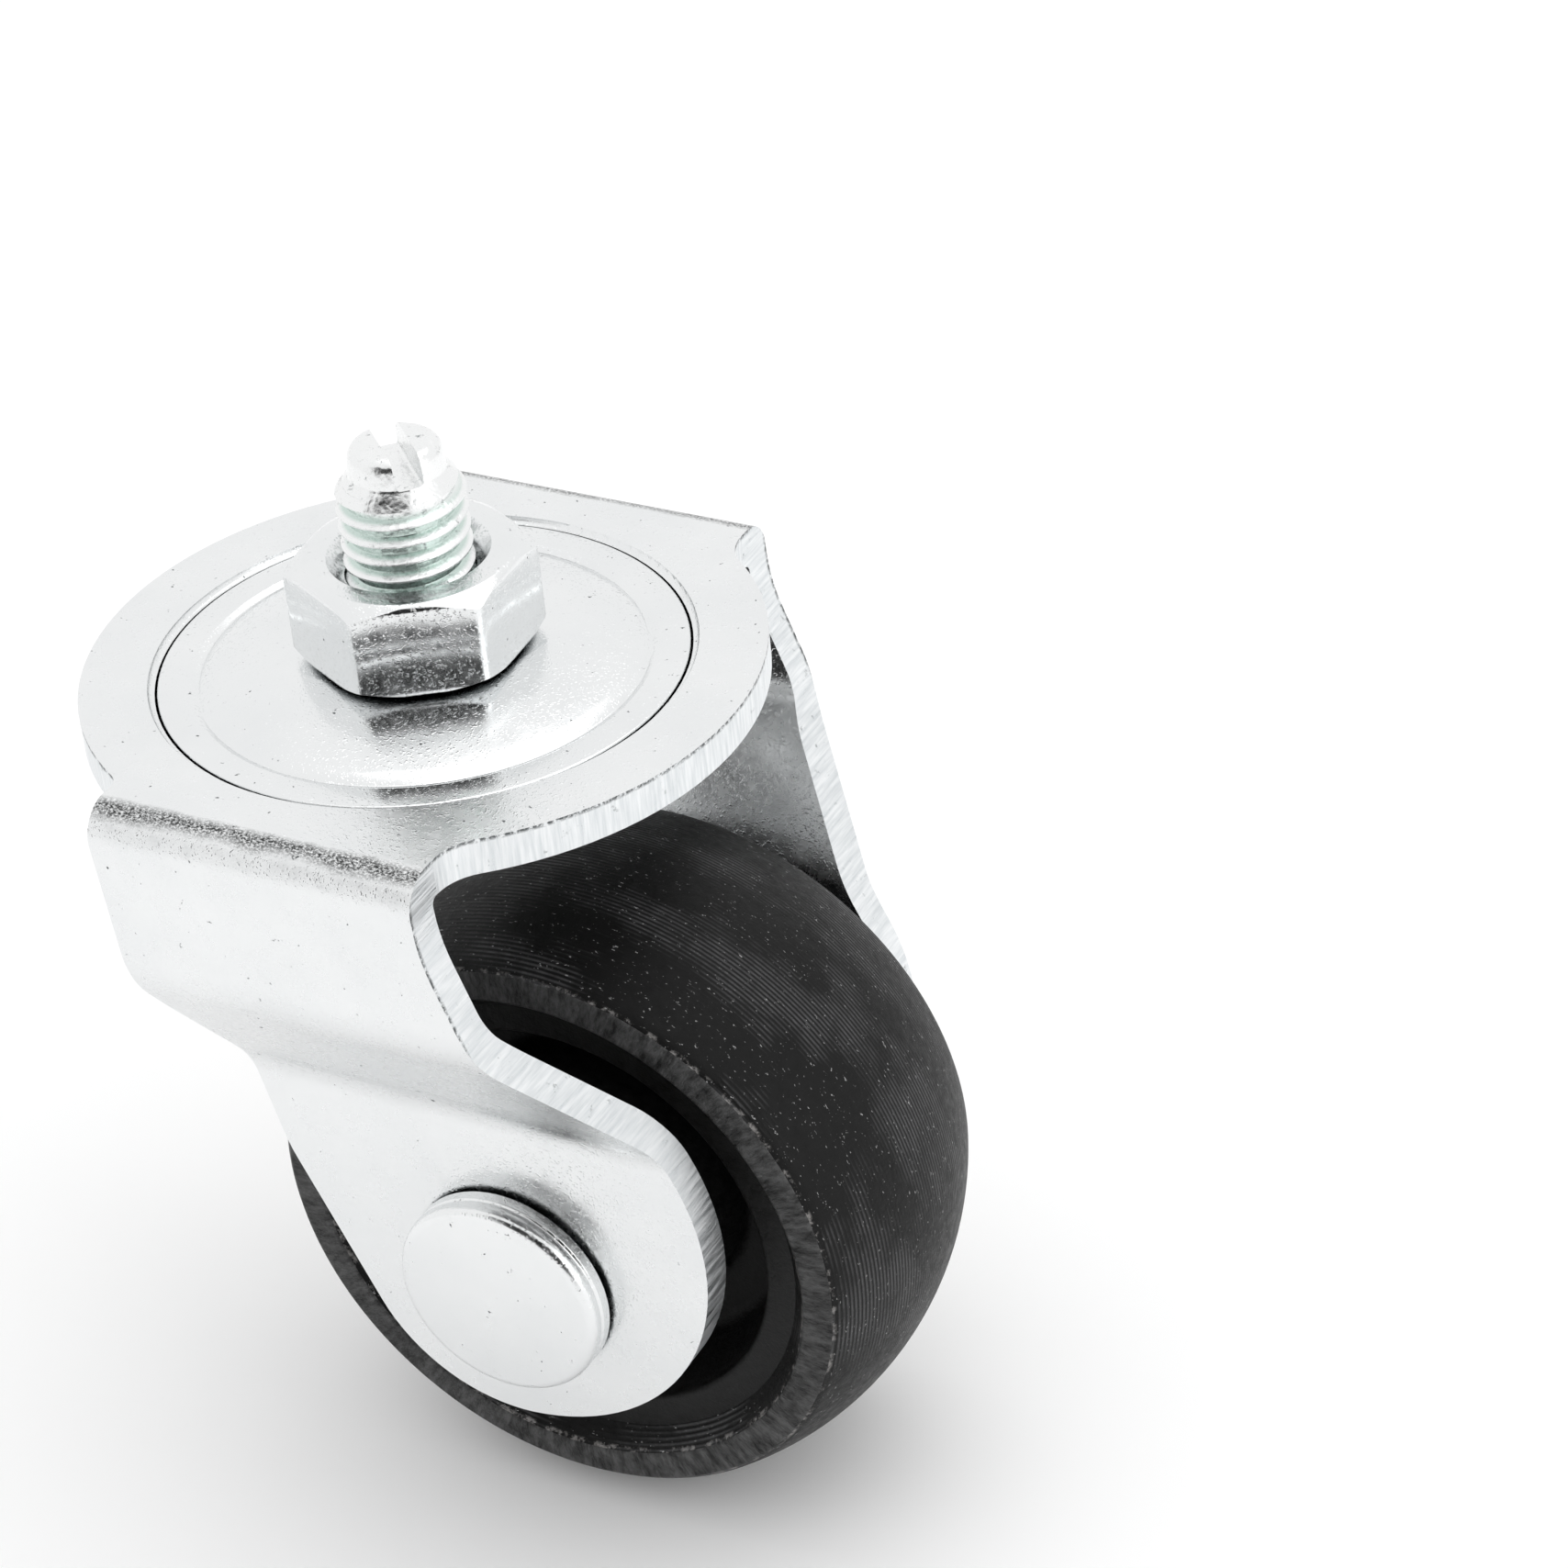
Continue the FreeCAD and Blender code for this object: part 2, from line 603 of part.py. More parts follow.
def tyre():
    """Tyre moulded on the core: a crowned tread between two flat side rings."""
    body = new_axle_body("tyre")
    rise = "(D.wheel_radius - D.tread_edge)"
    crown = f"((D.tyre_half - 0.2)^2 + {rise}^2) / (2*{rise})"
    turned_on_axle(body, "tyre_blank", [
        ("D.tyre_half - 0.2", "D.tread_edge"),
        ("D.tyre_half", "D.tyre_lip"),
        ("D.rim_half", "D.rim_radius"),
        ("-D.rim_half", "D.rim_radius"),
        ("-D.tyre_half", "D.tyre_lip"),
        ("-(D.tyre_half - 0.2)", "D.tread_edge"),
    ], arcs={5: f"-({crown})"})
    return body


def build():
    """All sub-parts, in the order they go together."""
    inner = "D.ear_y - D.sheet"
    return [
        threaded_stem(),
        clamp_nut(),
        upper_race_cap(),
        ball_ring("upper_balls", "-(D.dish_depth - D.ball_radius - D.ball_gap)", "D.upper_pitch",
                  "D.upper_count"),
        fork(),
        ball_ring("lower_balls", "-(D.dish_depth + D.sheet + D.ball_radius + D.ball_gap)", "D.lower_pitch",
                  "D.lower_count"),
        lower_race_cup(),
        axle(),
        tube("axle_back_washer", "D.ear_y", "D.ear_y + D.back_washer_sheet", "D.axle_radius",
             "D.back_washer_radius"),
        tube("axle_sleeve", f"-({inner})", inner, "D.axle_radius", "D.sleeve_radius"),
        tube("front_thrust_washer", f"-({inner})", f"-({inner}) + D.washer_sheet", "D.sleeve_radius",
             "D.washer_radius"),
        tube("back_thrust_washer", f"{inner} - D.washer_sheet", inner, "D.sleeve_radius", "D.washer_radius"),
        hub_bush("front_hub_bush", "-"),
        hub_bush("back_hub_bush", ""),
        wheel_core(),
        tyre(),
    ]


def check_and_write(parts):
    """Stops at any failed object; otherwise writes one STEP file for each sub-part."""
    doc.recompute()
    for item in doc.Objects:
        if "Invalid" in item.State or "Error" in item.State:
            raise RuntimeError(f"{item.Name} failed: {item.State}")
    for part in parts:
        if part.Shape.isNull() or not part.Shape.isValid() or not part.Shape.Solids:
            raise RuntimeError(f"{part.Label} has no valid solid")
    os.makedirs("parts", exist_ok=True)
    for part in parts:
        part.Shape.exportStep(f"parts/{part.Label}.step")
        print(part.Label, len(part.Shape.Solids), round(part.Shape.Volume, 1))


fill_sheet()
check_and_write(build())
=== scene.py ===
"""Swivel caster on a pale studio floor: zinc plated steel pressings over a black crowned wheel.

The steel pieces are turned, cut and rounded over their CAD nodes, and every inner piece keeps its
CAD mesh with a finish of its own.  Places come from the frame's boxes, in metres, and a piece's own
sizes are in millimetres times MM.
"""
import math
import bpy
from mathutils import Matrix, Vector


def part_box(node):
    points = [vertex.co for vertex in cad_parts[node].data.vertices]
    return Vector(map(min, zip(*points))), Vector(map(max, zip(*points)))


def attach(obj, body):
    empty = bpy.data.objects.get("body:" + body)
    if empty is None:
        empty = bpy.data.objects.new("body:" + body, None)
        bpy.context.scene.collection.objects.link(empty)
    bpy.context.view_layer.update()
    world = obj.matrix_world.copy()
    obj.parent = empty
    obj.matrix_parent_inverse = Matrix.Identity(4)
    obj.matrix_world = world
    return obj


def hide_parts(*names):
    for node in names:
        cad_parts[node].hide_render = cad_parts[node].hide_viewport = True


MM = 0.001
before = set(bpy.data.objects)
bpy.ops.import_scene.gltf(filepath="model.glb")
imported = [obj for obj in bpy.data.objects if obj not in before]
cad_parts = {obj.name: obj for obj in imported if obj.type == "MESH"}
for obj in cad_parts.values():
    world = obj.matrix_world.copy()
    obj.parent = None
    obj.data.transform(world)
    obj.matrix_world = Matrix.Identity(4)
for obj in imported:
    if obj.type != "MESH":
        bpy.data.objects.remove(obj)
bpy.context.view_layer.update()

UP = Vector((0, 0, 1))
ALONG_AXLE = Vector((0, 1, 0))
PLATE_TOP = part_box("fork")[1].z
AXLE = (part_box("axle_sleeve")[0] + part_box("axle_sleeve")[1]) / 2
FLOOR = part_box("tyre")[0].z
FORK_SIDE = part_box("fork")[1].y

STEM_RADIUS = 5 * MM
THREAD_PITCH = 1.5 * MM
THREAD_DEPTH = 0.75 * MM
CUP_SHEET = 1.3 * MM
RIM, RIM_HALF = 20.4 * MM, 10.4 * MM
SAME_POINT = 0.002 * MM
ROUND_STEPS = 5


# ---------------------------------------------------------------- working by hand

def nothing_selected():
    """Puts the tools down: object mode, and nothing selected."""
    if bpy.context.object and bpy.context.object.mode != "OBJECT":
        bpy.ops.object.mode_set(mode="OBJECT")
    bpy.ops.object.select_all(action="DESELECT")


def pick(piece):
    nothing_selected()
    piece.select_set(True)
    bpy.context.view_layer.objects.active = piece


def drawn_line(name, points):
    """One point of a small plane, drawn out into a line by extruding from place to place."""
    nothing_selected()
    bpy.ops.mesh.primitive_plane_add(size=MM, location=points[0])
    piece = bpy.context.object
    piece.name = piece.data.name = name
    bpy.ops.object.transform_apply(location=True, rotation=True, scale=True)
    bpy.ops.object.mode_set(mode="EDIT")
    bpy.ops.mesh.merge(type="CENTER")
    for start, end in zip(points, points[1:]):
        bpy.ops.mesh.extrude_vertices_move(TRANSFORM_OT_translate={"value": Vector(end) - Vector(start)})
    return piece


def clean():
    """Merges doubles and turns every face outwards, in edit mode."""
    bpy.ops.mesh.select_all(action="SELECT")
    bpy.ops.mesh.remove_doubles(threshold=SAME_POINT)
    bpy.ops.mesh.normals_make_consistent(inside=False)


def rounded(corners):
    """An outline's points, from corners of (across, along, radius); a radius of 0 leaves it sharp."""
    points = []
    for place, (across, along, radius) in enumerate(corners):
        here = Vector((across, along))
        if not radius:
            points.append(here)
            continue
        before = Vector(corners[place - 1][:2]) - here
        after = Vector(corners[(place + 1) % len(corners)][:2]) - here
        half = before.angle(after) / 2
        reach = radius / math.tan(half)
        centre = here + (before.normalized() + after.normalized()).normalized() * radius / math.sin(half)
        start = here + before.normalized() * reach - centre
        end = here + after.normalized() * reach - centre
        turn = start.angle_signed(end)
        for step in range(ROUND_STEPS + 1):
            points.append(centre + Matrix.Rotation(-turn * step / ROUND_STEPS, 2) @ start)
    return points


def turned(name, outline, centre, axis, steps=128):
    """A closed outline of (radius, along) points, spun about the axis through centre."""
    out = Vector((1, 0, 0))
    points = [centre + out * across + axis * along for across, along in outline]
    piece = drawn_line(name, points + points[:1])
    bpy.ops.mesh.select_all(action="SELECT")
    bpy.ops.mesh.spin(steps=steps, angle=math.tau, center=centre, axis=axis)
    clean()
    bpy.ops.object.mode_set(mode="OBJECT")
    return piece


def copy_of_node(node, name):
    """A piece of its own from a CAD node's mesh, merged and cleared of needless edges."""
    nothing_selected()
    piece = bpy.data.objects.new(name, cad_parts[node].data.copy())
    bpy.context.scene.collection.objects.link(piece)
    piece.data.name = name
    pick(piece)
    bpy.ops.object.mode_set(mode="EDIT")
    bpy.ops.mesh.select_all(action="SELECT")
    bpy.ops.mesh.remove_doubles(threshold=SAME_POINT)
    bpy.ops.mesh.dissolve_limited(angle_limit=math.radians(0.6))
    bpy.ops.object.mode_set(mode="OBJECT")
    return piece


def apply(piece, kind, **settings):
    """Adds a modifier and applies it at once."""
    pick(piece)
    tool = piece.modifiers.new(kind.title(), kind)
    for word, value in settings.items():
        setattr(tool, word, value)
    bpy.ops.object.modifier_apply(modifier=tool.name)


def cut_with(piece, tool, way):
    """Keeps what way says of piece and tool, and throws the tool away."""
    apply(piece, "BOOLEAN", object=tool, operation=way, solver="EXACT")
    bpy.data.objects.remove(tool)


def break_edges(piece, width, angle=32, segments=3):
    """Breaks every sharp edge with a small round, as tumbling and plating leave it."""
    apply(piece, "BEVEL", width=width, segments=segments, limit_method="ANGLE",
          angle_limit=math.radians(angle), harden_normals=False, miter_outer="MITER_ARC")


def smooth(piece, angle=30):
    pick(piece)
    bpy.ops.object.shade_smooth_by_angle(angle=math.radians(angle))


def hand_over(piece, body, slot, finish, *nodes):
    """The piece takes its finish, rides on its body and stands for its CAD nodes."""
    if finish:
        piece.data.materials.clear()
        piece.data.materials.append(finish)
    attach(piece, body)
    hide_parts(*nodes)


# ---------------------------------------------------------------- finishes
#
# Sockets given by number.  Map Range: 0 value, 1 and 2 the range read, 3 and 4 the range given.
# Mix: 0 share of the second, 6 first colour, 7 second colour.

def colour(code):
    """A colour written as sRGB hex, as the linear light that a shader takes."""
    parts = [int(code[place:place + 2], 16) / 255 for place in (0, 2, 4)]
    return [part / 12.92 if part <= 0.04045 else ((part + 0.055) / 1.055) ** 2.4 for part in parts] + [1]


def feed(tree, node, feeds):
    """Fills a node's sockets, each from a number, a colour, a socket, or a node's first output in use."""
    for socket, value in feeds.items():
        if isinstance(value, bpy.types.Node):
            value = next(output for output in value.outputs if output.enabled)
        if isinstance(value, bpy.types.NodeSocket):
            tree.links.new(value, node.inputs[socket])
        else:
            node.inputs[socket].default_value = value


def add(tree, kind, feeds=None, **options):
    """Adds one shader node: options are its settings, and feeds fill its sockets."""
    made = tree.nodes.new("ShaderNode" + kind)
    for word, value in options.items():
        setattr(made, word, value)
    feed(tree, made, feeds or {})
    return made


def new_finish(name):
    """An empty material: its node tree, its main shader and the piece's own coordinates."""
    material = bpy.data.materials.new(name)
    material.use_nodes = True
    tree = material.node_tree
    tree.nodes.clear()
    shader = add(tree, "BsdfPrincipled")
    add(tree, "OutputMaterial", {"Surface": shader})
    place = add(tree, "TexCoord").outputs["Object"]
    return material, tree, shader, place


def painted_corner_shade(tree, metal, reach, shade_colour="777B7C"):
    """The metal with painted shade in its corners: a thin dark line about reach wide, where ambient occlusion
    finds nearby surfaces.
    """
    # painted shade: darker where the corner closes in
    corner = add(tree, "AmbientOcclusion", {"Distance": reach}, samples=6).outputs["AO"]
    open_air = add(tree, "MapRange", {0: corner, 1: 0.25, 2: 0.62})
    return add(tree, "Mix", {0: open_air, 6: colour(shade_colour), 7: metal}, data_type="RGBA")


def bright_zinc(name="bright zinc plating", rough=0.24, dark_fold_band=None):
    """Bright zinc plating: nearly white, with soft grey clouds and a fine grain from the sheet."""
    material, tree, shader, place = new_finish(name)
    # clouds 9 mm wide, where the plating bath ran thicker or thinner
    clouds = add(tree, "TexNoise", {"Vector": place, "Scale": 1 / (9 * MM), "Detail": 4, "Roughness": 0.55})
    # mottle of 1.6 mm, the drawn sheet's own grain
    mottle = add(tree, "TexNoise", {"Vector": place, "Scale": 1 / (1.6 * MM), "Detail": 6, "Roughness": 0.55})
    # a few dark pits under a millimetre
    dirt = add(tree, "TexNoise", {"Vector": place, "Scale": 1 / (0.8 * MM), "Detail": 2, "Roughness": 0.8})
    pits = add(tree, "MapRange", {0: dirt, 1: 0.70, 2: 0.76})
    plate = add(tree, "Mix", {0: clouds, 6: colour("E4E6E7"), 7: colour("F1F2F2")}, data_type="RGBA")
    plate = add(tree, "Mix", {0: pits, 6: plate, 7: colour("6F7273")}, data_type="RGBA")
    # the optional dark band: a painted dark reflection along the folds, speckled as galling
    if dark_fold_band:
        plate = add(tree, "Mix", {0: dark_fold_band(tree, place), 6: plate, 7: colour("3E3F3F")}, data_type="RGBA")
    # painted shade: the plating darkened in its corners and creases, about 0.8 mm wide
    plate = painted_corner_shade(tree, plate, 0.8 * MM)
    satin = add(tree, "MapRange", {0: mottle, 1: 0.3, 2: 0.7, 3: rough - 0.06, 4: rough + 0.08})
    duller = add(tree, "Math", {0: pits, 1: 0.3}, operation="MULTIPLY")
    gloss = add(tree, "Math", {0: satin, 1: duller}, operation="ADD")
    # ripples of 4 mm left by the press, and sparkle finer than 0.3 mm drawn as coarse as it shows
    ripple = add(tree, "TexNoise", {"Vector": place, "Scale": 1 / (4 * MM), "Detail": 2, "Roughness": 0.55})
    grit = add(tree, "TexNoise", {"Vector": place, "Scale": 1 / (0.30 * MM), "Detail": 1, "Roughness": 0.9})
    sparks = add(tree, "MapRange", {0: grit, 1: 0.56, 2: 0.72})
    normal = add(tree, "Bump", {"Height": ripple, "Distance": 0.10 * MM, "Strength": 0.25})
    normal = add(tree, "Bump", {"Height": mottle, "Distance": 0.03 * MM, "Strength": 0.35, "Normal": normal})
    normal = add(tree, "Bump", {"Height": sparks, "Distance": 0.05 * MM, "Strength": 0.35, "Normal": normal})
    feed(tree, shader, {"Base Color": plate, "Metallic": 1, "Roughness": gloss, "Normal": normal})
    return material


def painted_fold_reflection_and_galling(tree, place):
    """A painted dark reflection along the two folds, broken into speckled galling where the sheet dragged
    over the press tool.
    """
    # painted reflection: a dark band in the bend of each fold
    parts = add(tree, "SeparateXYZ", {0: place})
    side = add(tree, "Math", {0: parts.outputs["Y"], 1: 0}, operation="ABSOLUTE")
    level = add(tree, "Math", {0: PLATE_TOP, 1: parts.outputs["Z"]}, operation="SUBTRACT")
    # the band's edges wander by a quarter of a millimetre
    drift = add(tree, "TexNoise", {"Vector": place, "Scale": 1 / (5 * MM), "Detail": 4, "Roughness": 0.55})
    wander = add(tree, "MapRange", {0: drift, 1: 0.3, 2: 0.7, 3: -0.25 * MM, 4: 0.25 * MM})
    across = add(tree, "Math", {0: side, 1: wander}, operation="ADD")
    inner = add(tree, "MapRange", {0: across, 1: FORK_SIDE - 2.7 * MM, 2: FORK_SIDE - 2.0 * MM})
    down = add(tree, "Math", {0: level, 1: wander}, operation="ADD")
    outer = add(tree, "MapRange", {0: down, 1: 0.85 * MM, 2: 0.3 * MM})
    near = add(tree, "Math", {0: inner, 1: outer}, operation="MULTIPLY")
    # torn specks of 0.15 mm, a little longer along the fold
    drawn = add(tree, "Mapping", {"Vector": place, "Scale": (0.7, 1, 1)})
    torn = add(tree, "TexNoise", {"Vector": drawn, "Scale": 1 / (0.15 * MM), "Detail": 3, "Roughness": 0.7})
    specks = add(tree, "MapRange", {0: torn, 1: 0.37, 2: 0.57})
    return add(tree, "Math", {0: near, 1: specks}, operation="MULTIPLY")


def sheared_edge(name, stretch):
    """Sheared sheet edge: bright streaks across the thickness, torn chips, a dark line at the corner."""
    material, tree, shader, place = new_finish(name)
    # streaks 0.32 mm apart from the shear's blade, and slower waves of 2.4 mm
    drawn = add(tree, "Mapping", {"Vector": place, "Scale": stretch})
    streaks = add(tree, "TexNoise", {"Vector": drawn, "Scale": 1 / (0.32 * MM), "Detail": 5,
                                     "Roughness": 0.55})
    waves = add(tree, "TexNoise", {"Vector": drawn, "Scale": 1 / (2.4 * MM), "Detail": 2, "Roughness": 0.55})
    # chips of about a millimetre, where the metal tore
    torn = add(tree, "TexNoise", {"Vector": place, "Scale": 1 / (1.1 * MM), "Detail": 5, "Roughness": 0.75})
    chips = add(tree, "MapRange", {0: torn, 1: 0.62, 2: 0.72})
    bright = add(tree, "MapRange", {0: streaks, 1: 0.35, 2: 0.65})
    metal = add(tree, "Mix", {0: bright, 6: colour("D6DADC"), 7: colour("EFF1F2")}, data_type="RGBA")
    metal = add(tree, "Mix", {0: chips, 6: metal, 7: colour("9EA2A3")}, data_type="RGBA")
    # the broken dark line where the sheet's face rolls over into the cut
    parts = add(tree, "SeparateXYZ", {0: place})
    side = add(tree, "Math", {0: parts.outputs["Y"], 1: 0}, operation="ABSOLUTE")
    upper = add(tree, "MapRange", {0: parts.outputs["Z"], 1: PLATE_TOP - 0.40 * MM, 2: PLATE_TOP - 0.15 * MM})
    outer = add(tree, "MapRange", {0: side, 1: FORK_SIDE - 0.40 * MM, 2: FORK_SIDE - 0.15 * MM})
    rolled = add(tree, "Math", {0: upper, 1: outer}, operation="MAXIMUM")
    gaps = add(tree, "TexNoise", {"Vector": place, "Scale": 1 / (0.6 * MM), "Detail": 5, "Roughness": 0.8})
    broken = add(tree, "MapRange", {0: gaps, 1: 0.42, 2: 0.54})
    line = add(tree, "Math", {0: rolled, 1: broken}, operation="MULTIPLY")
    metal = add(tree, "Mix", {0: line, 6: metal, 7: colour("5E6162")}, data_type="RGBA")
    gloss = add(tree, "MapRange", {0: streaks, 1: 0.3, 2: 0.7, 3: 0.26, 4: 0.48})
    normal = add(tree, "Bump", {"Height": waves, "Distance": 0.25 * MM, "Strength": 0.4})
    normal = add(tree, "Bump", {"Height": streaks, "Distance": 0.08 * MM, "Strength": 0.6, "Normal": normal})
    normal = add(tree, "Bump", {"Height": chips, "Distance": 0.05 * MM, "Strength": 0.4, "Normal": normal})
    feed(tree, shader, {"Base Color": metal, "Metallic": 1, "Roughness": gloss, "Normal": normal})
    return material


def rolled_thread():
    """Zinc on rolled threads: bright crests over a faint green tint that stays in the roots."""
    material, tree, shader, place = new_finish("zinc on rolled thread")
    parts = add(tree, "SeparateXYZ", {0: place})
    flat = add(tree, "CombineXYZ", {0: parts.outputs["X"], 1: parts.outputs["Y"]})
    out = add(tree, "VectorMath", {0: flat}, operation="LENGTH")
    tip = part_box("threaded_stem")[1].z
    on_crest = add(tree, "MapRange", {0: out, 1: 4.45 * MM, 2: 4.75 * MM})
    on_point = add(tree, "MapRange", {0: parts.outputs["Z"], 1: tip - 4.4 * MM, 2: tip - 3.9 * MM})
    bright = add(tree, "Math", {0: on_crest, 1: on_point}, operation="MAXIMUM")
    # knocks of about a millimetre, and a fine rolled grain of half that
    knocks = add(tree, "TexNoise", {"Vector": place, "Scale": 1 / (0.9 * MM), "Detail": 6, "Roughness": 0.8})
    marks = add(tree, "MapRange", {0: knocks, 1: 0.60, 2: 0.68})
    fine = add(tree, "TexNoise", {"Vector": place, "Scale": 1 / (0.5 * MM), "Detail": 5, "Roughness": 0.55})
    metal = add(tree, "Mix", {0: bright, 6: colour("CBDAD4"), 7: colour("F1F2F2")}, data_type="RGBA")
    metal = add(tree, "Mix", {0: marks, 6: metal, 7: colour("8A8F90")}, data_type="RGBA")
    # painted shade: a green-grey line darkened into the thread's roots and corners
    metal = painted_corner_shade(tree, metal, 0.5 * MM, "7F8C88")
    gloss = add(tree, "MapRange", {0: fine, 1: 0.3, 2: 0.7, 3: 0.16, 4: 0.32})
    dents = add(tree, "TexNoise", {"Vector": place, "Scale": 1 / (1.3 * MM), "Detail": 2, "Roughness": 0.55})
    normal = add(tree, "Bump", {"Height": dents, "Distance": 0.25 * MM, "Strength": 0.5})
    normal = add(tree, "Bump", {"Height": fine, "Distance": 0.06 * MM, "Strength": 0.5, "Normal": normal})
    feed(tree, shader, {"Base Color": metal, "Metallic": 1, "Roughness": gloss, "Normal": normal})
    return material


def turned_tread():
    """Black tread rubber: fine even lines round the wheel from turning, painted lighter in patches as a
    sheen, bright dust, a pale worn edge.
    """
    material, tree, shader, place = new_finish("turned black tread")
    # the turning tool's lines, 0.37 mm apart, with a painted sheen that shows them in patches about 6 mm wide
    cuts = add(tree, "TexWave", {
        "Vector": place, "Scale": math.tau / 20 / (0.37 * MM), "Distortion": 0.6, "Detail": 1,
        "Detail Scale": 0.2}, bands_direction="Y").outputs["Fac"]
    wide = add(tree, "Mapping", {"Vector": place, "Scale": (0.6, 1, 0.6)})
    cloud = add(tree, "TexNoise", {"Vector": wide, "Scale": 1 / (6 * MM), "Detail": 4, "Roughness": 0.55})
    patches = add(tree, "MapRange", {0: cloud, 1: 0.42, 2: 0.62})
    ridges_and_sheen = add(tree, "Math", {0: cuts, 1: patches}, operation="MULTIPLY")
    broken = add(tree, "TexNoise", {"Vector": place, "Scale": 1 / (0.9 * MM), "Detail": 6, "Roughness": 0.7})
    lines = add(tree, "Math", {0: ridges_and_sheen, 1: broken}, operation="MULTIPLY")
    # dust specks of a quarter of a millimetre, smeared round the wheel
    smeared = add(tree, "Mapping", {"Vector": place, "Scale": (0.45, 1, 0.45)})
    dust = add(tree, "TexNoise", {"Vector": smeared, "Scale": 1 / (0.26 * MM), "Detail": 2, "Roughness": 0.9})
    specks = add(tree, "MapRange", {0: dust, 1: 0.66, 2: 0.74})
    # the worn line along the tread's two edges
    parts = add(tree, "SeparateXYZ", {0: place})
    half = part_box("tyre")[1].y
    side = add(tree, "Math", {0: parts.outputs["Y"], 1: 0}, operation="ABSOLUTE")
    edge = add(tree, "MapRange", {0: side, 1: half - 0.50 * MM, 2: half - 0.35 * MM})
    rubbed = add(tree, "MapRange", {0: broken, 1: 0.50, 2: 0.62})
    worn = add(tree, "Math", {0: edge, 1: rubbed}, operation="MULTIPLY")
    # painted sheen: the lines in their patches painted lighter than the black rubber
    pale = add(tree, "MapRange", {0: lines, 1: 0.1, 2: 0.6})
    rubber = add(tree, "Mix", {0: pale, 6: colour("090909"), 7: colour("4A4A4B")}, data_type="RGBA")
    faint = add(tree, "Math", {0: specks, 1: 0.8}, operation="MULTIPLY")
    rubber = add(tree, "Mix", {0: faint, 6: rubber, 7: colour("B4B4B4")}, data_type="RGBA")
    faint = add(tree, "Math", {0: worn, 1: 0.5}, operation="MULTIPLY")
    rubber = add(tree, "Mix", {0: faint, 6: rubber, 7: colour("A3A09E")}, data_type="RGBA")
    gloss = add(tree, "MapRange", {0: broken, 1: 0.3, 2: 0.7, 3: 0.34, 4: 0.56})
    normal = add(tree, "Bump", {"Height": ridges_and_sheen, "Distance": 0.05 * MM, "Strength": 0.8})
    normal = add(tree, "Bump", {"Height": broken, "Distance": 0.12 * MM, "Strength": 0.7, "Normal": normal})
    feed(tree, shader, {"Base Color": rubber, "Specular IOR Level": 0.18, "Roughness": gloss,
                        "Normal": normal})
    return material


def black_with_painted_glints(name, texture_of, depth, light):
    """Black with a coarse satin texture: the texture's high spots are painted a little lighter, as glints."""
    material, tree, shader, place = new_finish(name)
    texture = texture_of(tree, place)
    high = add(tree, "MapRange", {0: texture, 1: 0.35, 2: 0.65})
    # painted glints: the texture's high spots mixed towards the lighter colour
    black = add(tree, "Mix", {0: high, 6: colour("0A0A0A"), 7: colour(light)}, data_type="RGBA")
    gloss = add(tree, "MapRange", {0: texture, 1: 0.3, 2: 0.7, 3: 0.42, 4: 0.62})
    normal = add(tree, "Bump", {"Height": texture, "Distance": depth, "Strength": 0.8})
    feed(tree, shader, {"Base Color": black, "Specular IOR Level": 0.25, "Roughness": gloss,
                        "Normal": normal})
    return material


def moulded_plastic():
    """Black moulded plastic: spark texture of 0.9 mm from the mould, a shade greyer than the tread."""
    def skin(tree, place):
        return add(tree, "TexNoise", {"Vector": place, "Scale": 1 / (0.9 * MM), "Detail": 6,
                                      "Roughness": 0.7})
    # the spark texture's high spots are painted a shade lighter, as glints
    return black_with_painted_glints("moulded black plastic", skin, 0.18 * MM, "1E1E1E")


def wrinkled_side():
    """Rough black rubber on the tyre's sides: wrinkles 0.7 mm apart that run out from the axle."""
    def wrinkles(tree, place):
        moved = add(tree, "VectorMath", {0: place, 1: AXLE}, operation="SUBTRACT")
        parts = add(tree, "SeparateXYZ", {0: moved}).outputs
        flat = add(tree, "CombineXYZ", {0: parts["X"], 1: parts["Z"]})
        out = add(tree, "VectorMath", {0: flat}, operation="LENGTH")
        turn = add(tree, "Math", {0: parts["Z"], 1: parts["X"]}, operation="ARCTAN2")
        along = add(tree, "Math", {0: turn, 1: 23 * MM}, operation="MULTIPLY")
        round_axle = add(tree, "CombineXYZ", {0: along, 1: out, 2: parts["Y"]})
        drawn = add(tree, "Mapping", {"Vector": round_axle, "Scale": (1, 0.35, 1)})
        return add(tree, "TexNoise", {"Vector": drawn, "Scale": 1 / (0.7 * MM), "Detail": 5,
                                      "Roughness": 0.7})
    # the wrinkles' high spots are painted lighter, as glints
    return black_with_painted_glints("wrinkled side rubber", wrinkles, 0.6 * MM, "525252")


def polished_steel():
    """Hardened bearing steel: mirror bright with faint grinding marks."""
    material, tree, shader, place = new_finish("polished bearing steel")
    marks = add(tree, "TexNoise", {"Vector": place, "Scale": 1 / (0.4 * MM), "Detail": 3, "Roughness": 0.55})
    steel = add(tree, "Mix", {0: marks, 6: colour("C9CACC"), 7: colour("E6E7E8")}, data_type="RGBA")
    gloss = add(tree, "MapRange", {0: marks, 1: 0.3, 2: 0.7, 3: 0.08, 4: 0.18})
    feed(tree, shader, {"Base Color": steel, "Metallic": 1, "Roughness": gloss})
    return material


